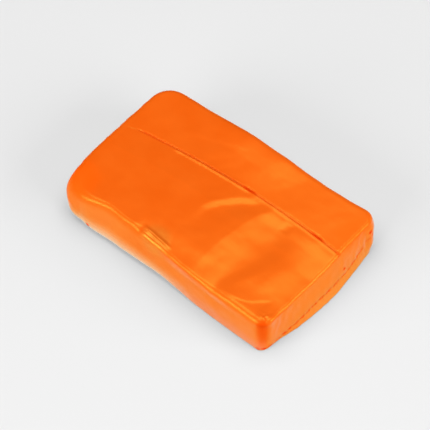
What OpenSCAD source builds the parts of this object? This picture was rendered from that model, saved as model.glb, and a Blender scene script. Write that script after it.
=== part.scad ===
// Bar of detailing clay, tightly wrapped in one sheet of thin clear film.
// The bar lies flat on z = 0 and its length runs along x. Sizes are in millimetres.

/* [Bar] */
// Length over the film, from foot to foot
bar_l = 106; // [84:1:130]
// Width over the film
bar_w = 62; // [50:1:80]
// Height over the film, lap included
bar_h = 20; // [16:1:30]

/* [Rounding] */
// Plan radius of the corner at -x, -y
front_left_r = 10; // [4:0.5:14]
// Plan radius of the corner at +x, -y
front_right_r = 5; // [4:0.5:14]
// Plan radius of the corner at +x, +y
rear_right_r = 6; // [4:0.5:14]
// Plan radius of the corner at -x, +y
rear_left_r = 9; // [4:0.5:14]
// Radius of the rim around the top
rim_r = 3; // [1:0.25:3.5]
// Radius of the edge around the base
base_r = 1.5; // [1:0.25:3]

/* [Foot of each end] */
// How far the bulging foot stands out from the end wall at its middle
foot_out = 2.5; // [1:0.25:4]
// Height of the foot
foot_h = 4; // [3.5:0.25:6]
// Radius of the foot's upper edge
foot_top_r = 1; // [0.5:0.1:1.5]

/* [Film] */
// Thickness of the film
film_t = 0.1; // [0.05:0.01:0.3]
// How far the lap's free edge lies behind the bar's middle line
lap_edge_y = 10; // [0:1:15]
// Width of the lap, where the film lies double along the top
lap_w = 12; // [6:1:15]
// Width of the folded end flap at its top
flap_top_w = 36; // [20:1:38]
// Width of the folded end flap at its lower edge
flap_low_w = 26; // [10:1:36]

/* [Hidden] */
$fn = 96;

// Length over the upright end walls, behind the feet
wall_l = bar_l - 2 * foot_out;
// The film's closed shell stops one layer short of the top, where the lap adds its own
shell_h = bar_h - film_t;
// The end flap reaches from just above the foot to the rim
flap_gap = 0.5;
flap_low_z = foot_h + flap_gap;
flap_top_z = shell_h - rim_r;

// Each corner: the quarter it lies in, as signs of x and y, and its plan radius
CORNERS = [
    [[-1, -1], front_left_r], [[1, -1], front_right_r],
    [[1, 1], rear_right_r], [[-1, 1], rear_left_r]
];

// Width of a foot along its wall, which keeps it between the rounded corners
foot_margin = 1;
foot_w = bar_w - 2 * max([for (c = CORNERS) c[1]]) - 2 * foot_margin;
// Radius of the arc that bulges by foot_out over that width
foot_arc_r = (pow(foot_w / 2, 2) + pow(foot_out, 2)) / (2 * foot_out);
// How deep a foot is set into its wall
foot_bury = 1;

// Signed value for one quarter of the plan
function in_quarter(quarter, x, y) = [quarter[0] * x, quarter[1] * y];

module quarter_disc(r) {
    intersection() {
        circle(r = r);
        square(r);
    }
}

// Section of the outer wall: depth t inwards from x = r, rounded at the rim and the base
module wall_section(r, t, h, rim, base) {
    translate([r - t, 0]) polygon([
        [0, 0], [t - base, 0], [t - base, base], [t, base],
        [t, h - rim], [t - rim, h - rim], [t - rim, h], [0, h]
    ]);
    translate([r - rim, h - rim]) quarter_disc(rim);
    translate([r - base, base]) mirror([0, 1]) quarter_disc(base);
}

// Slab l by w by h with a radius at each plan corner, and a rounded rim and base edge
module slab(l, w, h, inset, rim, base) {
    wall_t = max(rim, base);
    corners = [for (c = CORNERS) [c[0], c[1] - inset]];
    // Core inside the walls, notched at each corner up to the corner's centre
    linear_extrude(height = h) polygon([
        for (i = [0:3]) let (
            c = corners[i], r = c[1],
            a = in_quarter(c[0], l / 2 - wall_t, w / 2 - r),
            b = in_quarter(c[0], l / 2 - r, w / 2 - r),
            d = in_quarter(c[0], l / 2 - r, w / 2 - wall_t)
        ) each (i % 2 == 0 ? [a, b, d] : [d, b, a])
    ]);
    for (i = [0:3]) {
        c = corners[i];
        n = corners[(i + 1) % 4];
        along = (i % 2 == 0 ? l : w);
        across = (i % 2 == 0 ? w : l);
        run = along - c[1] - n[1];
        // Wall from this corner to the next
        rotate(90 * i) translate([-along / 2 + c[1], -across / 2, 0])
            rotate([90, 0, 90]) linear_extrude(height = run)
                mirror([1, 0]) wall_section(0, wall_t, h, rim, base);
        // The corner itself
        rotate(90 * i) translate([-along / 2 + c[1], -across / 2 + c[1], 0])
            rotate(180) rotate_extrude(angle = 90)
                wall_section(c[1], c[1], h, rim, base);
    }
}

// Low foot that bulges out of the end wall at +x, as a segment of a disc
module foot(inset) {
    disc_r = foot_arc_r - inset;
    disc_h = foot_h - 2 * inset;
    intersection() {
        translate([bar_l / 2 - foot_arc_r, 0, inset]) rotate_extrude($fn = 180)
            wall_section(disc_r, disc_r, disc_h, foot_top_r - inset, base_r - inset);
        translate([wall_l / 2 - foot_bury, -bar_w / 2, 0])
            cube([foot_out + foot_bury, bar_w, foot_h]);
    }
}

// The wrapped bar's outer form, drawn in by the given depth on every side
module form(inset) {
    translate([0, 0, inset])
        slab(wall_l - 2 * inset, bar_w - 2 * inset, shell_h - 2 * inset, inset,
             rim_r - inset, base_r - inset);
    foot(inset);
    mirror([1, 0, 0]) foot(inset);
}

// Second layer of film along the top, up to the lap's free edge
module lap() {
    lap_l = wall_l - 2 * rim_r;
    translate([-lap_l / 2, lap_edge_y - lap_w, shell_h])
        cube([lap_l, lap_w, film_t]);
}

// Flap of film folded down over the end wall at +x, above the foot
module end_flap() {
    translate([wall_l / 2, 0, 0]) rotate([90, 0, 90])
        linear_extrude(height = film_t)
            polygon([
                [-flap_low_w / 2, flap_low_z], [flap_low_w / 2, flap_low_z],
                [flap_top_w / 2, flap_top_z], [-flap_top_w / 2, flap_top_z]
            ]);
}

module clay_block() {
    color("darkorange") form(film_t);
}

module wrap_film() {
    color([1, 0.75, 0.5, 0.4]) {
        difference() {
            form(0);
            form(film_t);
        }
        lap();
        end_flap();
        mirror([1, 0, 0]) end_flap();
    }
}

clay_block();
wrap_film();
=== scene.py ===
"""Looks of a bar of detailing clay wrapped in clear film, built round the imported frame.

Shapes are worked out in millimetres in the frame's own axes: x along the bar, y across it, z up.
The front is the side towards -y, and the near corner is the front right one.
"""

import math

import bpy
import numpy as np
from mathutils import Matrix, Vector


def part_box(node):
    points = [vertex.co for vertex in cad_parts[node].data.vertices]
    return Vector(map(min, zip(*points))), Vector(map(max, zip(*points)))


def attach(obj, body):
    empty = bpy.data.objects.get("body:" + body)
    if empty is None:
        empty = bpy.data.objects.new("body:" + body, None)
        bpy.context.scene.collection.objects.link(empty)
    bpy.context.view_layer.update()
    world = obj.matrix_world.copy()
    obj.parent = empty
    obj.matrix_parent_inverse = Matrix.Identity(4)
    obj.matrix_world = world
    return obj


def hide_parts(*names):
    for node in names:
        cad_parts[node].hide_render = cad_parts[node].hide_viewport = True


MM = 0.001
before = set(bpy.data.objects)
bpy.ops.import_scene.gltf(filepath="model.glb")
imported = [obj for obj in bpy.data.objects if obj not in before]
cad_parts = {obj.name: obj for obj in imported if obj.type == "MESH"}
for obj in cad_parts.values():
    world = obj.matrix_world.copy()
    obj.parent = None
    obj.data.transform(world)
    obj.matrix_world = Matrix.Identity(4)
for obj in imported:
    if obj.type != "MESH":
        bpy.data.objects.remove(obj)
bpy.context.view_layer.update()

# The bar's nominal walls, top and base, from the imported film's box. The feet at the ends take up
# FOOT of it, and the top's relief takes up CREST.
HIGH = np.array(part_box("wrap_film")[1]) / MM
FOOT = 2.5
CREST = 0.9
WALL_X = HIGH[0] - FOOT
WALL_Y = HIGH[1]
TOP_Z = HIGH[2] - CREST
BASE_Z = 0.14

# Plan corners in turn, anticlockwise from the front left one: signs of x and y, and radius
CORNERS = [(-1, -1, 10.0), (1, -1, 5.0), (1, 1, 6.0), (-1, 1, 9.0)]

# Radii of the rim and of the base edge, in general and where they are soft or sharp
RIM_R = 2.4
SOFT_RIM_R = 5.0
SHARP_RIM_R = 1.5
BASE_R = 0.8
SOFT_BASE_R = 5.0

# The lap's free edge bends slightly towards the front on either side of its peak, and more near
# its left end. Its groove is pinched at two places.
SEAM_PEAK_X = 25.0
SEAM_PEAK_Y = 10.6
SEAM_BEND = 0.0011
SEAM_END_X = -42.0
SEAM_END_BEND = 0.02
SEAM_MID_Y = 9.0
PINCHES_X = (7.0, 39.5)

# The crevice along each end is highest at the rear and lowest at the front: a level height, and
# two squared runs away from it, each as where it starts and ends along y and how much it adds
CREVICE_Z = 4.3
CREVICE_RUNS = [(10.0, 30.0, 8.2), (5.0, -27.0, -3.0)]

# Small nicks by the folded ends, painted dark as shade
NICKS = [(-37.3, -32.3, 4.2), (51.7, 12.2, 7.6), (51.3, 27.4, 13.8)]

# Crease across the front rim, and pucker over the near corner
CREASE_X = -12.5
PUCKER = (48.2, -27.0)

# Slopes of the front panel, each as its start, its end and its rise along y, in points (y, value),
# and how sharply it starts
PANEL_SLOPES = [
    # First ripple: a short steep step, then a shallow valley
    (
        [(-20, -9.5), (-14, -3.0), (-6, -2.0), (-2, -0.6), (2, 2.6), (5, 5.2), (9, 9.5)],
        [(-20, -4.0), (-14, 2.0), (-6, 2.2), (-2, 3.8), (2, 7.4), (5, 10.4), (9, 15.0)],
        [(-22, 0.0), (-14, -0.14), (-8, -0.3), (-4, -0.48), (4, -0.62), (8, -0.55)],
        0.0,
    ),
    (
        [(-18, -3.0), (-13, 3.0), (-6, 3.5), (0, 6.4), (5, 11.0), (9, 14.5)],
        [(-18, 3.0), (-13, 10.0), (-6, 12.0), (0, 13.5), (5, 17.0), (9, 19.5)],
        [(-22, 0.0), (-14, 0.15), (-8, 0.35), (0, 0.32), (8, 0.12)],
        0.0,
    ),
    # Broad slope in the middle, and the flat band after it
    (
        [(-24, 14.0), (-15, 14.0), (-3, 15.5), (4, 17.0), (9, 19.5)],
        [(-24, 26.0), (-15, 28.5), (-7, 30.0), (0, 29.5), (5, 27.0), (9, 25.5)],
        [(-28, -0.6), (-20, -1.3), (-5, -1.75), (3, -1.3), (9, -0.45)],
        0.6,
    ),
    (
        [(-25, 25.0), (-14, 28.0), (-6, 29.5), (1, 29.5), (6, 27.0)],
        [(-25, 30.5), (-14, 35.0), (-6, 37.0), (1, 36.5), (6, 34.0)],
        [(-28, 0.1), (-20, 0.5), (-6, 0.6), (4, 0.4), (9, 0.1)],
        0.0,
    ),
    # The end leans down to its rim
    (
        [(-24, 34.0), (-13, 37.0), (-3, 37.5), (8, 35.0)],
        [(-24, 53.0), (8, 52.0)],
        [(-28, -0.5), (-18, -1.15), (-5, -1.6), (8, -1.0)],
        0.0,
    ),
]

# One shallow arc in front of the flat band
ARC = [(28, -27.6), (34, -27.0), (39, -25.0), (46, -19.5)]

# How far each wall stands out at its top and at its foot, in points along it
FRONT_TOP = [
    (-43, 0.0), (-37, -0.8), (-29, -3.2), (-20, -3.0),
    (-5, -2.2), (12, -0.9), (30, -0.5), (46, -0.6),
]
FRONT_FOOT = [(-46, 0.6), (-37, 1.9), (-28, 1.7), (-8, 0.8), (4, 0.2), (20, 0.2), (43, 0.1)]
REAR_TOP = [(-40, -0.7), (-10, -0.1), (8, -0.3), (26, -0.3), (38, 0.4), (46, 1.4), (50, 1.8)]
REAR_FOOT = [(-40, -0.2), (0, 0.4), (40, 0.0)]
LEFT_TOP = [(-26, 0.8), (-14, 1.6), (20, 2.0), (27, 1.6)]
LEFT_FOOT = [(-22, 1.2), (0, 2.6), (22, 1.6)]
RIGHT_TOP = [(-27, -0.6), (0, -0.4), (27, -0.3)]
RIGHT_FOOT = [(-28, -1.6), (-14, 1.2), (3, 2.8), (16, 1.8), (29, 0.4)]

# Length of the diagonal (1, 1), and how closely a swelling corner's normal keeps to it
DIAGONAL = 1.414
CORNER_FACING = 0.72

# The film lies this far off the clay, and half as far where it runs under the lap. The lap's edge
# reaches past the seam by its overhang, and stops this many grid columns short of each end.
FILM_GAP = 0.12
LAP_W = 12.0
OVERHANG = 0.15
LAP_MARGIN = 4

# Half length of the crimped hem on each end
HEM_Y = 24.0

# Grid pitches, and steps round the rim and round the base edge
PITCH = 0.62
NEAR_PITCH = 0.3
SEAM_PITCH = 0.13
SEAM_GROWTH = 1.16
WALL_PITCH = 0.3
RIM_STEPS = 11
BASE_STEPS = 9

# Size of the noise table, and where in it the noise starts
LATTICE = 64
LATTICE_START = (31.7, 17.3)

# Linear colours
CLAY_DEEP = (0.95, 0.115, 0.003)
CLAY_PALE = (0.97, 0.128, 0.005)
CLAY_PAINTED_LIGHT = (0.97, 0.142, 0.006)
CORNER_SHADE = (0.8, 0.072, 0.002)
CREASE_SHADE = (0.9, 0.045, 0.001)
DASH_SHADE = (0.82, 0.03, 0.001)
CLEAR = (0.99, 0.99, 0.99)
PAINTED_SHEEN_WARM = (1.0, 0.64, 0.13)
PAINTED_SHEEN_PALE = (1.0, 0.85, 0.22)
PAINTED_SHEEN_WHITE = (1.0, 0.96, 0.8)
SHEEN_WARM = (1.0, 0.7, 0.1)
SHEEN_WHITE = (1.0, 0.95, 0.85)
PAPER = (0.75, 0.75, 0.75)

# The film's gloss seen square on, in general and where it is taut over the front rim
GLOSS = 0.078
TAUT_GLOSS = 0.2
GLOSS_ROUGHNESS = 0.26

# Shares of painted sheen in the film, a diffuse colour that stands in for light on the walls and for a
# reflection of the floor at the foot. On the walls: in general, and on the front's right part. At the
# foot: along the front's left part, along its right part, at the right end, and elsewhere.
PAINTED_SHEEN_WALL = 0.085
PAINTED_SHEEN_FRONT = 0.052
PAINTED_SHEEN_LEFT_FOOT = 0.48
PAINTED_SHEEN_RIGHT_FOOT = 0.065
PAINTED_SHEEN_END_FOOT = 0.12
PAINTED_SHEEN_FOOT = 0.04

# Where the film is gathered down the near corner and the clay there is painted in shade, where it is
# dull, and where it is taut
WEDGE = (WALL_X - 1.3, 0.3 - WALL_Y, TOP_Z)
DULL_LEFT = (3.0 - WALL_X, 4.0 - WALL_Y, TOP_Z)
DULL_RIGHT = (WALL_X, 20.5, TOP_Z + 1.0)
TAUT = (-5.0, 3.0 - WALL_Y, TOP_Z)

# Scales of the materials' noise, per metre: the clay's mottle and grain, the film's wrinkles and
# finer unevenness, and the dashes along the crevice
MOTTLE = 70.0
GRAIN = 900.0
WRINKLES = 260.0
UNEVENNESS = 1400.0
DASHES = 950.0

# Camera: where it looks from in degrees, its aim and distance in millimetres, and its lens
VIEW_AZIMUTH = 46.8
VIEW_ELEVATION = 54.9
VIEW_ROLL = -6.0
VIEW_AIM = (-0.5, -0.6, 0.0)
VIEW_DISTANCE = 617.0
VIEW_ANGLE = 15.0
VIEW_SHIFT = (-0.0037, 0.032)

# Soft boxes: name, degrees round from the camera and up, distance, width and depth in metres, and
# radiance
SOFTBOXES = [
    ("overhead", 0.0, 88.0, 1.2, 1.3, 1.1, 2.5),
    ("left", -58.0, 19.0, 1.5, 1.3, 0.8, 4.05),
    ("right", 55.0, 19.0, 1.5, 1.3, 0.8, 4.05),
]
WORLD_LIGHT = 0.24
FLOOR_HALF = 3.0


# ---------------------------------------------------------------- small shape functions


def ramp(t):
    """0 below 0, 1 above 1, and a smooth rise between."""
    t = np.clip(t, 0.0, 1.0)
    return t * t * (3.0 - 2.0 * t)


def bell(d, width):
    """A smooth bump of height 1 that fades out over about two widths."""
    return np.exp(-((d / width) ** 2))


def notch(d, width):
    """A sharp notch of depth 1 with straight sides."""
    return np.clip(1.0 - np.abs(d) / width, 0.0, 1.0)


def window(t, low, high, soft):
    """1 between low and high, fading to 0 over soft outside them."""
    return ramp((t - low) / soft + 1.0) * ramp((high - t) / soft + 1.0)


def curve_through(points, x):
    """A smooth curve through a few points (x, y), flat at its ends."""
    px, py = np.array(points, float).T
    i = np.clip(np.searchsorted(px, x) - 1, 0, len(px) - 2)
    step = px[i + 1] - px[i]
    t = np.clip((x - px[i]) / step, 0.0, 1.0)
    steepness = np.zeros(len(px))
    steepness[1:-1] = (py[2:] - py[:-2]) / (px[2:] - px[:-2])
    h00 = 2 * t**3 - 3 * t**2 + 1
    h10 = t**3 - 2 * t**2 + t
    h01 = -2 * t**3 + 3 * t**2
    h11 = t**3 - t**2
    return h00 * py[i] + h10 * step * steepness[i] + h01 * py[i + 1] + h11 * step * steepness[i + 1]


def noise(x, y, scale, seed):
    """Smooth value noise from -1 to 1, with lumps about scale across."""
    table = np.random.default_rng(seed).uniform(-1.0, 1.0, (LATTICE, LATTICE))
    u, v = x / scale + LATTICE_START[0], y / scale + LATTICE_START[1]
    iu, iv = np.floor(u).astype(int), np.floor(v).astype(int)
    fu, fv = ramp(u - iu), ramp(v - iv)
    i, next_i = iu % LATTICE, (iu + 1) % LATTICE
    j, next_j = iv % LATTICE, (iv + 1) % LATTICE
    low = table[i, j] * (1 - fu) + table[next_i, j] * fu
    high = table[i, next_j] * (1 - fu) + table[next_i, next_j] * fu
    return low * (1 - fv) + high * fv


# ---------------------------------------------------------------- the clay's relief


def seam_y(x):
    """Where the lap's free edge runs along the top."""
    bend = SEAM_BEND * (x - SEAM_PEAK_X) ** 2
    return SEAM_PEAK_Y - bend - SEAM_END_BEND * np.clip(SEAM_END_X - x, 0.0, None) ** 2


def panel_slope(x, y, start, end, rise, sharp):
    """A rise along x from one line to another, steepest at its start if it is sharp."""
    first, last = curve_through(start, y), curve_through(end, y)
    t = np.clip((x - first) / (last - first), 0.0, 1.0)
    return curve_through(rise, y) * ((1.0 - sharp) * ramp(t) + sharp * (1.0 - (1.0 - t) ** 2))


def left_rise(x):
    """The left end lies a little lower than the rest of the top."""
    return 0.5 * ramp((x + 45.0) / 40.0)


def panel_relief(x, y):
    """The front panel: slopes from the flat left part to the right end, and a leaning front edge."""
    h = left_rise(x)
    for start, end, rise, sharp in PANEL_SLOPES:
        h += panel_slope(x, y, start, end, rise, sharp)
    # Short slope beside the seam
    h -= 0.24 * ramp((x - 25.8) / 2.0) * window(x, 25.0, 29.0, 2.5) * window(y, 5.8, 8.0, 1.4)
    # Front edge leans down in the middle and at the right
    h -= 0.55 * ramp((-y - 19.0) / 10.0) * window(x, -6.0, 24.0, 10.0)
    h -= 0.3 * ramp((-y - 15.0) / 10.0) * window(x, 26.0, 60.0, 6.0)
    arc = y - curve_through(ARC, x)
    return h - 0.14 * ramp(-arc / 1.2) * window(x, 30.0, 43.0, 3.0)


def rear_relief(x, y):
    """The rear strip, which rises towards its rim in the middle of the bar."""
    along = y - 0.15 * np.clip(x - 15.0, 0.0, None)
    h = 0.7 * ramp((along - 11.0) / 12.0) * window(x, -4.0, 5.0, 20.0)
    h += 0.75 * ramp((along - 19.5) / 9.0) * window(x, -12.0, 7.0, 20.0)
    h += 0.02 * np.clip(y - 12.0, 0.0, None)
    h += 0.1 * ramp((y - 19.0 - 0.3 * (x + 15.0)) / 2.5) * window(x, -24.0, -8.0, 7.0)
    h += left_rise(x)
    return h - 1.0 * ramp((x - 22.0) / 30.0)


def lip_height(x):
    """Height of the lip along the lap's free edge."""
    return 0.2 * window(x, -24.0, 4.0, 6.0) + 0.04 * noise(x, 0.0, 3.0, 5)


def top_relief(x, y):
    """Height of the clay over the nominal top."""
    behind = y - seam_y(x)
    share = ramp((behind + 1.5) / 3.0)
    h = panel_relief(x, np.minimum(y, SEAM_MID_Y)) * (1.0 - share) + rear_relief(x, y) * share
    # Crease across the front rim, and the pucker over the near corner
    h -= 0.15 * bell(x - CREASE_X, 1.6) * ramp((-y - 22.0) / 5.0)
    from_pucker = np.hypot(x - PUCKER[0], y - PUCKER[1])
    h += 0.14 * bell(from_pucker - 1.1, 0.5) - 0.15 * bell(from_pucker, 0.6)
    h += 0.12 * noise(x, y, 0.8, 4) * bell(from_pucker, 3.0)
    # Small fold of film along the middle of the front rim
    h += 0.34 * bell(y + WALL_Y - 4.6 + 0.09 * (x + 4.0), 0.6) * window(x, -9.0, 0.0, 3.5)
    # Shallow unevenness of hand-pressed clay, and fine streaks along the front rim
    h += 0.07 * noise(x, y, 9.0, 1) + 0.04 * noise(x, y, 3.4, 2)
    streaked = window(y, -29.0, -20.0, 3.0) * window(x, -8.0, 24.0, 6.0)
    h += 0.03 * noise(x + 0.4 * y, 0.35 * y, 1.6, 3) * streaked
    # Groove behind the lap's edge, with its pinches
    pinches = sum(bell(x - pinch, 2.3) for pinch in PINCHES_X)
    width = 0.4 + 0.3 * pinches
    h -= (0.6 + 0.35 * pinches) * notch(behind - width, width) * ramp((x + 46.0) / 6.0)
    return h + lip_height(x) * bell(behind + 0.5, 0.55)


def crevice_z(y):
    """Height of the crevice along each end, where the film's end is folded under."""
    runs = (add * np.clip((y - start) / (end - start), 0.0, 1.0) ** 2 for start, end, add in CREVICE_RUNS)
    return CREVICE_Z + sum(runs)


def corner_swell(facing):
    """1 where a corner's normal lies along its diagonal, 0 where it is well away from it."""
    return ramp((facing - CORNER_FACING) / (1.0 - CORNER_FACING))


def wall_out(p, n, z):
    """How far the wall at height z stands out from the nominal plan point p, along n."""
    x, y = p[:, 0], p[:, 1]
    to_front, to_rear = np.clip(-n[:, 1], 0, 1) ** 2, np.clip(n[:, 1], 0, 1) ** 2
    to_right, to_left = np.clip(n[:, 0], 0, 1) ** 2, np.clip(-n[:, 0], 0, 1) ** 2
    rise = (z - BASE_Z) / (TOP_Z - BASE_Z)
    out = 0.0
    for facing, top, foot in ((to_front, FRONT_TOP, FRONT_FOOT), (to_rear, REAR_TOP, REAR_FOOT)):
        low = curve_through(foot, x)
        out = out + facing * (low + (curve_through(top, x) - low) * rise)
    # Each end leans out towards its foot, more so under the crevice
    crevice = crevice_z(y)
    swell = 0.6 * (1.0 - rise) + 0.4 * np.clip(1.0 - z / crevice, 0.0, 1.0)
    for facing, top, foot in ((to_left, LEFT_TOP, LEFT_FOOT), (to_right, RIGHT_TOP, RIGHT_FOOT)):
        high = curve_through(top, y)
        out += facing * (high + (curve_through(foot, y) - high) * swell)
    # Crevice itself, crimped along its length
    depth = np.clip(0.05 + 0.35 * noise(y, 0.0, 1.2, 8), 0.0, 1.0)
    out -= (to_right + to_left) ** 3 * depth * notch(z - crevice - 0.2, 0.5)
    # Corners that swell out: the front left one and the rear right one
    out += corner_swell((-n[:, 0] - n[:, 1]) / DIAGONAL) * 2.1 * window(z, 7.0, 11.0, 8.0)
    out += corner_swell((n[:, 0] + n[:, 1]) / DIAGONAL) * (0.3 + 1.1 * window(z, 6.0, 13.0, 6.0))
    # Pinch down the near corner, where the film is gathered
    near = np.hypot(x - WALL_X + 2.1, y + WALL_Y - 0.9)
    out -= 0.6 * bell(near, 1.3 + 0.1 * z) * window(z, 5.0, 14.0, 4.0)
    # Shallow hollow under the front rim
    out -= 0.12 * to_front * bell(z - 14.0, 2.0) * window(x, 8.0, 38.0, 10.0)
    return out + 0.12 * noise(x + 3.0 * y, z, 5.0, 9)


# ---------------------------------------------------------------- grids


def side_points(k, f):
    """Points and outward normals along side k, from one corner's middle to the next one's."""
    corner, following = CORNERS[k], CORNERS[(k + 1) % 4]
    start = math.radians(225.0 + 90.0 * k)
    centre = [np.array([c[0] * (WALL_X - c[2]), c[1] * (WALL_Y - c[2])]) for c in (corner, following)]
    arc = [c[2] * math.pi / 4.0 for c in (corner, following)]
    turn = start + math.pi / 4.0
    normal = np.array([math.cos(turn), math.sin(turn)])
    tangent = np.array([-normal[1], normal[0]])
    straight = float(np.dot(centre[1] - centre[0], tangent))
    s = np.asarray(f) * (arc[0] + straight + arc[1])
    angle = start + np.clip(s / corner[2], 0.0, math.pi / 4.0)
    angle = angle + np.clip((s - arc[0] - straight) / following[2], 0.0, math.pi / 4.0)
    n = np.stack([np.cos(angle), np.sin(angle)], -1)
    before, after = (s < arc[0])[:, None], (s > arc[0] + straight)[:, None]
    along = centre[0] + corner[2] * normal + (s - arc[0])[:, None] * tangent
    p = np.where(before, centre[0] + corner[2] * n, along)
    return np.where(after, centre[1] + following[2] * n, p), n


def spread(length, pitch_at):
    """Offsets from 0 to length whose steps follow a local pitch."""
    offsets = [0.0]
    while offsets[-1] < length:
        offsets.append(offsets[-1] + pitch_at(offsets[-1]))
    return np.array(offsets) * length / offsets[-1]


def seam_pitch(offset):
    """Pitch at a distance from the seam, where the groove needs fine steps."""
    return min(SEAM_PITCH + offset * (SEAM_GROWTH - 1.0), PITCH)


def corner_pitch(offset):
    """Pitch at a distance from the near corner, where the film is gathered."""
    return PITCH + (NEAR_PITCH - PITCH) * math.exp(-((offset / 8.0) ** 2))


def build_plan():
    """The four sides' points and normals, and the row of the top grid that follows the seam."""
    length = 2 * WALL_X
    share_u = 1.0 - spread(length, corner_pitch)[::-1] / length
    width = WALL_Y + SEAM_MID_Y
    ahead = spread(width, lambda s: min(seam_pitch(s), corner_pitch(width - s)))
    after = spread(WALL_Y - SEAM_MID_Y, seam_pitch)
    fine = np.linspace(0.0, 1.0, 2001)

    def across(k, flip):
        p, _ = side_points(k, fine)
        share = 1.0 - fine if flip else fine
        order = np.argsort(p[:, 1])
        meet = float(np.interp(seam_y(p[:, 0].mean()), p[order, 1], share[order]))
        lower = meet * (1.0 - ahead[::-1] / ahead[-1])
        upper = meet + (1.0 - meet) * after / after[-1]
        shares = np.concatenate([lower, upper[1:]])
        return side_points(k, 1.0 - shares if flip else shares)

    front, rear = side_points(0, share_u), side_points(2, 1.0 - share_u)
    return front, rear, across(3, True), across(1, False), len(ahead) - 1


def ring_of(front, rear, left, right):
    """The four sides joined into one closed ring, anticlockwise from the front left corner."""
    return np.concatenate([front[:-1], right[:-1], rear[::-1][:-1], left[::-1][:-1]])


def sides_of(ring, nu, nv):
    """The ring cut back into its four sides."""
    closed = np.concatenate([ring, ring[:1]])
    front = closed[: nu + 1]
    right = closed[nu : nu + nv + 1]
    rear = closed[nu + nv : 2 * nu + nv + 1][::-1]
    left = closed[2 * nu + nv : 2 * nu + 2 * nv + 1][::-1]
    return front, rear, left, right


def run_of(curve):
    """Distance along a curve from its first point."""
    return np.concatenate([[0.0], np.cumsum(np.hypot(*np.diff(curve, axis=0).T))])


def fill(front, rear, left, right):
    """A grid of plan points inside four boundary curves."""
    run = (run_of(front) + run_of(rear)) / 2.0
    u = (run / run[-1])[:, None, None]
    run_l, run_r = run_of(left), run_of(right)
    v = ((1 - u[..., 0]) * run_l / run_l[-1] + u[..., 0] * run_r / run_r[-1])[..., None]
    edges = (1 - v) * front[:, None] + v * rear[:, None] + (1 - u) * left[None] + u * right[None]
    low = (1 - u) * front[0] + u * front[-1]
    high = (1 - u) * rear[0] + u * rear[-1]
    return edges - (1 - v) * low - v * high


def follow_seam(grid, row):
    """Slides each column's points along it so that the given row lies on the seam."""
    out = grid.copy()
    for column, moved in zip(grid[1:-1], out[1:-1]):
        run = run_of(column)
        meet = float(np.interp(0.0, column[:, 1] - seam_y(column[:, 0]), run))
        lower = meet * run[: row + 1] / run[row]
        upper = meet + (run[-1] - meet) * (run[row + 1 :] - run[row]) / (run[-1] - run[row])
        target = np.concatenate([lower, upper])
        moved[:, 0] = np.interp(target, run, column[:, 0])
        moved[:, 1] = np.interp(target, run, column[:, 1])
    return out


def wall_levels(rim_r, base_r):
    """Inset, height and steepness of each level down the wall, for each point's two radii."""
    low, high = BASE_Z + base_r, TOP_Z - rim_r
    quarter = math.pi / 2
    rim_angles = np.linspace(0, quarter, RIM_STEPS)
    rim = [(rim_r * (1 - math.sin(a)), high + rim_r * math.cos(a), a) for a in rim_angles]
    shares = np.linspace(0, 1, int((TOP_Z - BASE_Z) / WALL_PITCH))[1:-1]
    wall = [(0.0, high + (low - high) * t, quarter) for t in shares]
    base_angles = np.linspace(quarter, 2 * quarter, BASE_STEPS)
    base = [(base_r * (1 - math.sin(a)), low + base_r * math.cos(a), a) for a in base_angles]
    return rim + wall + base


def rim_radius(p):
    """The rim is sharp along the front but for one gap and along the right, and round front left."""
    reach = np.hypot(p[:, 0] + WALL_X, p[:, 1] + WALL_Y)
    front = ramp((-p[:, 1] - WALL_Y + 6.0) / 5.0)
    sharp = (SHARP_RIM_R - RIM_R) * front * window(p[:, 0], -34.0, 16.0, 9.0)
    gap = front * bell(p[:, 0] - CREASE_X, 1.8)
    end = 1.3 * (SHARP_RIM_R - RIM_R) * (1.0 - front) * ramp((p[:, 0] - WALL_X + 4.0) / 4.0)
    return RIM_R + sharp + gap + end + (SOFT_RIM_R - RIM_R) * bell(reach, 12.0)


def base_radius(p):
    """The base edge is rounder along the left half of the front."""
    front = ramp((-p[:, 1] - WALL_Y + 16.0) / 12.0)
    return BASE_R + (SOFT_BASE_R - BASE_R) * front * window(p[:, 0], -60.0, -6.0, 26.0)


def build_surface(gap):
    """Top grid, wall rings from rim to base, base grid and the seam's row, gap off the clay."""
    front, rear, left, right, row = build_plan()
    nu, nv = len(front[0]) - 1, len(left[0]) - 1
    p = ring_of(front[0], rear[0], left[0], right[0])
    n = ring_of(front[1], rear[1], left[1], right[1])
    levels = wall_levels(rim_radius(p), base_radius(p))
    wall = np.zeros((len(levels), len(p), 3))
    for ring, (inset, z, steep) in zip(wall, levels):
        out = wall_out(p, n, z) - inset + gap * math.sin(steep)
        ring[:, :2] = p + n * out[:, None]
        ring[:, 2] = z + gap * math.cos(steep)
    # The rim takes up the top's relief, less and less down the wall
    rise = top_relief(wall[0, :, 0], wall[0, :, 1])
    share = ramp((wall[..., 2] - BASE_Z - SOFT_BASE_R) / (TOP_Z - BASE_Z - SOFT_BASE_R))
    wall[..., 2] += rise * share
    top = np.zeros((nu + 1, nv + 1, 3))
    top[..., :2] = follow_seam(fill(*sides_of(wall[0, :, :2], nu, nv)), row)
    top[..., 2] = TOP_Z + gap + top_relief(top[..., 0], top[..., 1])
    base = np.zeros((nu + 1, nv + 1, 3))
    base[..., :2] = fill(*sides_of(wall[-1, :, :2], nu, nv))
    base[..., 2] = BASE_Z - gap
    return top, wall, base, row


def closed_ring(wall):
    """A wall's grid with its first column repeated at its end."""
    return np.concatenate([wall, wall[:, :1]], axis=1)


def clay_grids():
    top, wall, base, _ = build_surface(0.0)
    return [top, closed_ring(wall), base[:, ::-1]]


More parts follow.
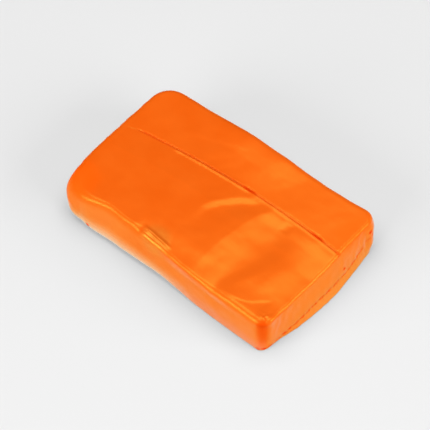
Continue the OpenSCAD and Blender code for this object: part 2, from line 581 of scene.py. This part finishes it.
def hem(side):
    """Crimped edge of the film's folded end, standing out of the crevice on one end."""
    y = np.arange(-HEM_Y, HEM_Y, 0.3)
    plan = np.stack([np.full_like(y, side * WALL_X), y], -1)
    normal = np.stack([np.full_like(y, side), np.zeros_like(y)], -1)
    z = crevice_z(y)
    x = WALL_X + FILM_GAP + wall_out(plan, normal, z)
    share = np.linspace(0.0, 1.0, 5)[:, None]
    crimp = noise(y, 0.0, 0.9, 11)
    grid = np.zeros((len(share), len(y), 3))
    grid[..., 0] = side * (x + 0.1 + (0.16 + 0.12 * crimp) * share)
    grid[..., 1] = y + 0.2 * noise(y, 0.0, 1.4, 12) * share
    grid[..., 2] = z + 0.15 + (0.1 + 0.2 * crimp) * share
    return grid


def film_grids():
    """The film's grids, with the layer under the lap last."""
    top, wall, base, row = build_surface(FILM_GAP)
    front, rear = top[:, : row + 1].copy(), top[:, row:].copy()
    inner = slice(LAP_MARGIN, -LAP_MARGIN)
    # The front layer stands up along its free edge and reaches past the seam
    edge = front[inner, -1]
    near_edge = bell(front[inner, :, 1] - edge[:, None, 1], 0.8)
    front[inner, :, 2] += 0.12 * near_edge * window(front[inner, :, 0], -24.0, 4.0, 6.0)
    reach = np.linspace(0.0, OVERHANG, 4)[None, :, None]
    overhang = edge[:, None] + reach * np.array([0.0, 1.0, -0.15])
    # The rear layer dips at the seam and runs on under the front one
    rear[inner, 0, 2] -= FILM_GAP / 2.0
    reached = top[len(top) // 2, :, 1] > seam_y(0.0) - LAP_W
    under = top[inner, np.argmax(reached) : row + 1].copy()
    under[..., 2] -= FILM_GAP / 2.0
    return [front, overhang, rear, closed_ring(wall), base[:, ::-1], hem(1.0), hem(-1.0), under]


# ---------------------------------------------------------------- pieces


def link(name, data):
    """A new object in the scene."""
    piece = bpy.data.objects.new(name, data)
    bpy.context.scene.collection.objects.link(piece)
    return piece


def weld(grids):
    """One list of points and quads from grids of points, joined where they coincide."""
    points = np.concatenate([grid.reshape(-1, 3) for grid in grids])
    _, first, inverse = np.unique(np.round(points, 4), axis=0, return_index=True, return_inverse=True)
    inverse = inverse.reshape(-1)
    faces, start = [], 0
    for grid in grids:
        rows, columns = grid.shape[:2]
        index = inverse[start : start + rows * columns].reshape(rows, columns)
        quads = [index[:-1, :-1], index[1:, :-1], index[1:, 1:], index[:-1, 1:]]
        faces.append(np.stack(quads, -1).reshape(-1, 4))
        start += rows * columns
    return points[first], np.concatenate(faces)


def add_piece(name, grids, material, last_material=None):
    """A piece from grids of points; its last grid may have a material of its own."""
    points, faces = weld(grids)
    mesh = bpy.data.meshes.new(name)
    mesh.from_pydata((points * MM).tolist(), [], faces.tolist())
    mesh.validate()
    mesh.shade_smooth()
    mesh.materials.append(material)
    if last_material:
        mesh.materials.append(last_material)
        rows, columns = grids[-1].shape[:2]
        for face in mesh.polygons[-(rows - 1) * (columns - 1) :]:
            face.material_index = 1
    return link(name, mesh)


# ---------------------------------------------------------------- nodes


def add_node(tree, kind, inputs, **settings):
    """A new node with its settings, and its inputs set or linked."""
    new = tree.nodes.new(kind)
    for name, value in settings.items():
        setattr(new, name, value)
    for name, value in inputs.items():
        if isinstance(value, bpy.types.NodeSocket):
            tree.links.new(value, new.inputs[name])
        else:
            new.inputs[name].default_value = value
    return new


def new_material(name):
    """An empty material's tree, its output node and the object's own coordinates."""
    material = bpy.data.materials.new(name)
    material.use_nodes = True
    tree = material.node_tree
    tree.nodes.clear()
    output = tree.nodes.new("ShaderNodeOutputMaterial")
    place = tree.nodes.new("ShaderNodeTexCoord").outputs["Object"]
    return material, tree, output, place


def coordinates(tree, place):
    """x, y and z of a place."""
    return add_node(tree, "ShaderNodeSeparateXYZ", {"Vector": place}).outputs


def add_noise(tree, place, scale, detail=2.0):
    inputs = {"Vector": place, "Scale": scale, "Detail": detail}
    return add_node(tree, "ShaderNodeTexNoise", inputs).outputs["Fac"]


def add_bump(tree, height, depth, under=None):
    """A normal bumped to a depth in millimetres, on top of another one if given."""
    inputs = {"Height": height, "Distance": depth * MM}
    if under is not None:
        inputs["Normal"] = under
    return add_node(tree, "ShaderNodeBump", inputs).outputs["Normal"]


def add_plain(tree, kind, colour):
    """A shader that has only a colour, as a linear colour or a socket."""
    value = (*colour, 1.0) if isinstance(colour, tuple) else colour
    return add_node(tree, kind, {"Color": value}).outputs[0]


def blend(tree, share, first, second):
    """A colour between two others, given as linear colours or sockets, by a share from 0 to 1."""
    ends = {6: first, 7: second}
    ends = {i: (*end, 1.0) if isinstance(end, tuple) else end for i, end in ends.items()}
    return add_node(tree, "ShaderNodeMix", {0: share, **ends}, data_type="RGBA").outputs[2]


def mix_shaders(tree, share, first, second):
    return add_node(tree, "ShaderNodeMixShader", {0: share, 1: first, 2: second}).outputs[0]


def calculate(tree, operation, first, second):
    return add_node(tree, "ShaderNodeMath", {0: first, 1: second}, operation=operation).outputs[0]


def ranged(tree, value, low, high, to_low, to_high, kind="SMOOTHSTEP"):
    """A value taken from one range to another."""
    inputs = {"Value": value, 1: low, 2: high, 3: to_low, 4: to_high}
    mapping = add_node(tree, "ShaderNodeMapRange", inputs, interpolation_type=kind)
    return mapping.outputs["Result"]


def ranged_mm(tree, value, low, high, to_low, to_high, kind="SMOOTHSTEP"):
    """A length taken from a range in millimetres to another range."""
    return ranged(tree, value, low * MM, high * MM, to_low, to_high, kind)


def away(tree, value, middle):
    """How far a coordinate is from a middle given in millimetres."""
    off = calculate(tree, "SUBTRACT", value, middle * MM)
    return calculate(tree, "ABSOLUTE", off, 0.0)


def spot(tree, place, centre, near, far, squeeze=1.0):
    """1 within a distance of a point in millimetres, fading to 0; heights may count for less."""
    squeezed = {0: place, 1: (1.0, 1.0, squeeze)}
    plan = add_node(tree, "ShaderNodeVectorMath", squeezed, operation="MULTIPLY").outputs[0]
    ends = {0: plan, 1: (centre[0] * MM, centre[1] * MM, centre[2] * squeeze * MM)}
    reach = add_node(tree, "ShaderNodeVectorMath", ends, operation="DISTANCE").outputs[1]
    return ranged_mm(tree, reach, near, far, 1.0, 0.0)


# ---------------------------------------------------------------- materials


def near_corner(tree, place):
    """1 in a wedge down the near corner, where the film is gathered and shade is painted, and 0
    elsewhere.
    """
    _, _, z = coordinates(tree, place)
    wedge = spot(tree, place, WEDGE, 1.6, 4.4, 0.15)
    return calculate(tree, "MULTIPLY", wedge, ranged_mm(tree, z, 0.8, 4.5, 0.1, 1.0))


def seam_pinches(tree, place):
    """1 where the lap's edge is pinched, and less along the rest of its crease: where shade is painted.
    """
    x, y, z = coordinates(tree, place)
    off = calculate(tree, "SUBTRACT", x, SEAM_PEAK_X * MM)
    fall = calculate(tree, "MULTIPLY", calculate(tree, "MULTIPLY", off, off), SEAM_BEND / MM)
    behind = away(tree, calculate(tree, "ADD", y, fall), SEAM_PEAK_Y + 0.4)
    crease = ranged_mm(tree, behind, 0.3, 1.0, 1.0, 0.0)
    on_top = ranged_mm(tree, z, 16.0, 17.5, 0.0, 0.45)
    strength = ranged_mm(tree, x, -46.0, -42.0, 0.0, on_top)
    for pinch in PINCHES_X:
        pinched = ranged_mm(tree, away(tree, x, pinch), 0.5, 4.2, 0.55, 0.0)
        strength = calculate(tree, "ADD", pinched, strength)
    return calculate(tree, "MULTIPLY", crease, strength)


def crevice_dashes(tree, place):
    """1 in short dashes along the crevice of each end and in the nicks, where shade is painted."""
    x, y, z = coordinates(tree, place)
    height = calculate(tree, "SUBTRACT", z, (CREVICE_Z + 0.2) * MM)
    for start, end, add in CREVICE_RUNS:
        run = ranged_mm(tree, y, start, end, 0.0, 1.0, "LINEAR")
        added = calculate(tree, "MULTIPLY", calculate(tree, "POWER", run, 2.0), add * MM)
        height = calculate(tree, "SUBTRACT", height, added)
    near = ranged_mm(tree, away(tree, height, 0.0), 0.2, 0.8, 1.0, 0.0)
    broken = ranged(tree, add_noise(tree, place, DASHES), 0.46, 0.54, 0.0, 1.0)
    on_ends = ranged_mm(tree, away(tree, x, 0.0), 44.0, 47.0, 0.0, 1.0)
    dashed = calculate(tree, "MULTIPLY", calculate(tree, "MULTIPLY", near, broken), on_ends)
    for nick in NICKS:
        dashed = calculate(tree, "MAXIMUM", dashed, spot(tree, place, nick, 0.55, 1.15))
    return dashed


def clay_material():
    """Dense orange clay, faintly mottled, with a fine grain pressed flat, and painted light and shade:
    lighter towards the right end, darker down the near corner, along the seam's crease and in the
    crevice's dashes.
    """
    material, tree, output, place = new_material("clay")
    patches = add_noise(tree, place, MOTTLE, 4.0)
    grain = add_noise(tree, place, GRAIN, 3.0)
    x, _, _ = coordinates(tree, place)
    colour = blend(tree, ranged(tree, patches, 0.35, 0.65, 0.0, 1.0), CLAY_DEEP, CLAY_PALE)
    # Painted light: the clay is lighter towards the right end, where the top catches more light
    colour = blend(tree, ranged_mm(tree, x, -15.0, 30.0, 0.0, 0.7), colour, CLAY_PAINTED_LIGHT)
    # Painted shade down the near corner
    colour = blend(tree, near_corner(tree, place), colour, CORNER_SHADE)
    # Painted shade along the seam's crease and its pinches
    colour = blend(tree, seam_pinches(tree, place), colour, CREASE_SHADE)
    # Painted shade in dashes along each end's crevice and in the nicks
    colour = blend(tree, crevice_dashes(tree, place), colour, DASH_SHADE)
    inputs = {
        "Base Color": colour,
        "Roughness": ranged(tree, grain, 0.3, 0.7, 0.3, 0.36),
        "Specular IOR Level": 0.0,
        "Normal": add_bump(tree, grain, 0.02, add_bump(tree, patches, 0.12)),
    }
    clay = add_node(tree, "ShaderNodeBsdfPrincipled", inputs).outputs[0]
    tree.links.new(clay, output.inputs["Surface"])
    return material


def film_smoothness(tree, place):
    """1 where the film lies smooth, and next to nothing where it is gathered, creased or over the
    crevice's painted dashes of shade.
    """
    creases = calculate(tree, "ADD", crevice_dashes(tree, place), seam_pinches(tree, place))
    gathered = calculate(tree, "ADD", near_corner(tree, place), creases)
    return ranged(tree, gathered, 0.0, 1.0, 1.0, 0.05)


def film_normal(tree, place):
    """The film's normal, with wrinkles along the bar and a finer unevenness."""
    stretch = add_node(tree, "ShaderNodeMapping", {"Vector": place, "Scale": (0.5, 1.6, 1.0)})
    wrinkles = add_noise(tree, stretch.outputs["Vector"], WRINKLES, 3.0)
    fine = add_noise(tree, place, UNEVENNESS)
    return add_bump(tree, fine, 0.012, add_bump(tree, wrinkles, 0.08))


def mirror_share(tree, place, edge, smooth):
    """How much of the film is gloss: more at grazing angles, and less at two dull corners."""
    half_dull = calculate(tree, "MULTIPLY", spot(tree, place, DULL_RIGHT, 6.0, 11.0), 0.5)
    dull = calculate(tree, "MAXIMUM", spot(tree, place, DULL_LEFT, 5.0, 14.0), half_dull)
    clean = calculate(tree, "MULTIPLY", smooth, ranged(tree, dull, 0.0, 1.0, 1.0, 0.25))
    taut = spot(tree, place, TAUT, 3.0, 9.0)
    square_on = ranged(tree, taut, 0.0, 1.0, GLOSS, TAUT_GLOSS)
    grazing = calculate(tree, "POWER", edge, 5.0)
    mirror = ranged(tree, grazing, 0.0, 1.0, square_on, 1.0, "LINEAR")
    return calculate(tree, "MULTIPLY", mirror, clean)


def painted_sheen_share(tree, place, low, smooth):
    """How much painted sheen the film carries: painted light down the walls, and more at the foot as a
    painted reflection of the floor.
    """
    x, y, z = coordinates(tree, place)
    left_foot = ranged_mm(tree, y, 6.0 - WALL_Y, 12.0 - WALL_Y, PAINTED_SHEEN_LEFT_FOOT, PAINTED_SHEEN_FOOT)
    right_foot = ranged_mm(tree, y, -16.0, 2.0, PAINTED_SHEEN_RIGHT_FOOT, PAINTED_SHEEN_END_FOOT)
    foot = calculate(tree, "MULTIPLY", low, ranged_mm(tree, x, -8.0, 20.0, left_foot, right_foot))
    on_front = ranged_mm(tree, x, -30.0, -12.0, PAINTED_SHEEN_WALL, PAINTED_SHEEN_FRONT)
    wall_share = ranged_mm(tree, y, 6.0 - WALL_Y, 20.0 - WALL_Y, on_front, PAINTED_SHEEN_WALL)
    walls = ranged_mm(tree, z, 14.5, 17.8, wall_share, 0.0)
    return calculate(tree, "MULTIPLY", calculate(tree, "ADD", foot, walls), smooth)


def film_material():
    """Thin clear film: see-through, glossier at grazing angles, and with painted sheen down the walls."""
    material, tree, output, place = new_material("clear_film")
    x, _, z = coordinates(tree, place)
    normal = film_normal(tree, place)
    smooth = film_smoothness(tree, place)
    edge = add_node(tree, "ShaderNodeLayerWeight", {"Blend": 0.5, "Normal": normal}).outputs["Facing"]
    sheen = blend(tree, ranged(tree, edge, 0.5, 0.85, 0.0, 1.0), SHEEN_WARM, SHEEN_WHITE)
    glossy = {"Color": sheen, "Roughness": GLOSS_ROUGHNESS, "Normal": normal}
    gloss = add_node(tree, "ShaderNodeBsdfGlossy", glossy).outputs[0]
    clear = add_plain(tree, "ShaderNodeBsdfTransparent", CLEAR)
    film = mix_shaders(tree, mirror_share(tree, place, edge, smooth), clear, gloss)
    # Painted sheen: whitest low down as a painted reflection of the floor, and warm on the right end as
    # painted light
    low = ranged_mm(tree, z, 0.5, 10.5, 1.0, 0.0)
    on_end = ranged_mm(tree, x, WALL_X - 3.5, WALL_X - 1.0, 0.0, 1.0)
    colour = blend(tree, on_end, blend(tree, low, PAINTED_SHEEN_PALE, PAINTED_SHEEN_WHITE), PAINTED_SHEEN_WARM)
    painted_sheen = add_plain(tree, "ShaderNodeBsdfDiffuse", colour)
    film = mix_shaders(tree, painted_sheen_share(tree, place, low, smooth), film, painted_sheen)
    tree.links.new(film, output.inputs["Surface"])
    return material


def plain_material(name, kind, colour):
    """A material of one shader that has only a colour."""
    material, tree, output, _ = new_material(name)
    tree.links.new(add_plain(tree, kind, colour), output.inputs["Surface"])
    return material


# ---------------------------------------------------------------- stage


def look_from(azimuth, elevation, roll=0.0):
    """Turn of a camera or lamp that looks at the middle from a direction, and that direction."""
    a, e = math.radians(azimuth), math.radians(elevation)
    back = Vector((math.sin(a) * math.cos(e), -math.cos(a) * math.cos(e), math.sin(e)))
    right = Vector((math.cos(a), math.sin(a), 0.0))
    turn = Matrix((right, back.cross(right), back)).transposed()
    return (turn @ Matrix.Rotation(math.radians(roll), 3, "Z")).to_4x4(), back


def add_camera():
    camera = link("camera", bpy.data.cameras.new("camera"))
    turn, back = look_from(VIEW_AZIMUTH, VIEW_ELEVATION, VIEW_ROLL)
    place = (Vector(VIEW_AIM) + back * VIEW_DISTANCE) * MM
    camera.matrix_world = Matrix.Translation(place) @ turn
    camera.data.angle = math.radians(VIEW_ANGLE)
    camera.data.shift_x, camera.data.shift_y = VIEW_SHIFT
    camera.data.clip_start = 0.01
    bpy.context.scene.camera = camera


def add_softbox(name, azimuth, elevation, distance, width, depth, radiance):
    lamp = bpy.data.lights.new(name, "AREA")
    lamp.shape = "RECTANGLE"
    lamp.size, lamp.size_y = width, depth
    lamp.energy = radiance * math.pi * width * depth
    turn, back = look_from(azimuth, elevation)
    link(name, lamp).matrix_world = Matrix.Translation(back * distance) @ turn


def add_stage():
    """Floor, world and soft boxes."""
    half = FLOOR_HALF
    mesh = bpy.data.meshes.new("floor")
    corners = [(-half, -half, 0.0), (half, -half, 0.0), (half, half, 0.0), (-half, half, 0.0)]
    mesh.from_pydata(corners, [], [(0, 1, 2, 3)])
    mesh.materials.append(plain_material("floor", "ShaderNodeBsdfDiffuse", PAPER))
    link("floor", mesh)
    world = bpy.data.worlds.new("world")
    world.use_nodes = True
    background = world.node_tree.nodes["Background"]
    background.inputs["Color"].default_value = (1.0, 1.0, 1.0, 1.0)
    background.inputs["Strength"].default_value = WORLD_LIGHT
    bpy.context.scene.world = world
    for name, round_from_view, elevation, distance, width, depth, radiance in SOFTBOXES:
        add_softbox(name, VIEW_AZIMUTH + round_from_view, elevation, distance, width, depth, radiance)
    bpy.context.scene.view_settings.view_transform = "Standard"


# ---------------------------------------------------------------- build

clay = add_piece("clay", clay_grids(), clay_material())
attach(clay, "root")
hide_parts("clay_block")

# The film under the lap is pressed so flat between clay and film that it has no gloss
pressed_film = plain_material("pressed_film", "ShaderNodeBsdfTransparent", CLEAR)
film = add_piece("film", film_grids(), film_material(), pressed_film)
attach(film, "root")
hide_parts("wrap_film")

# The paper under the bar takes no orange glow from it
for piece in (clay, film):
    piece.visible_diffuse = False

add_stage()
add_camera()
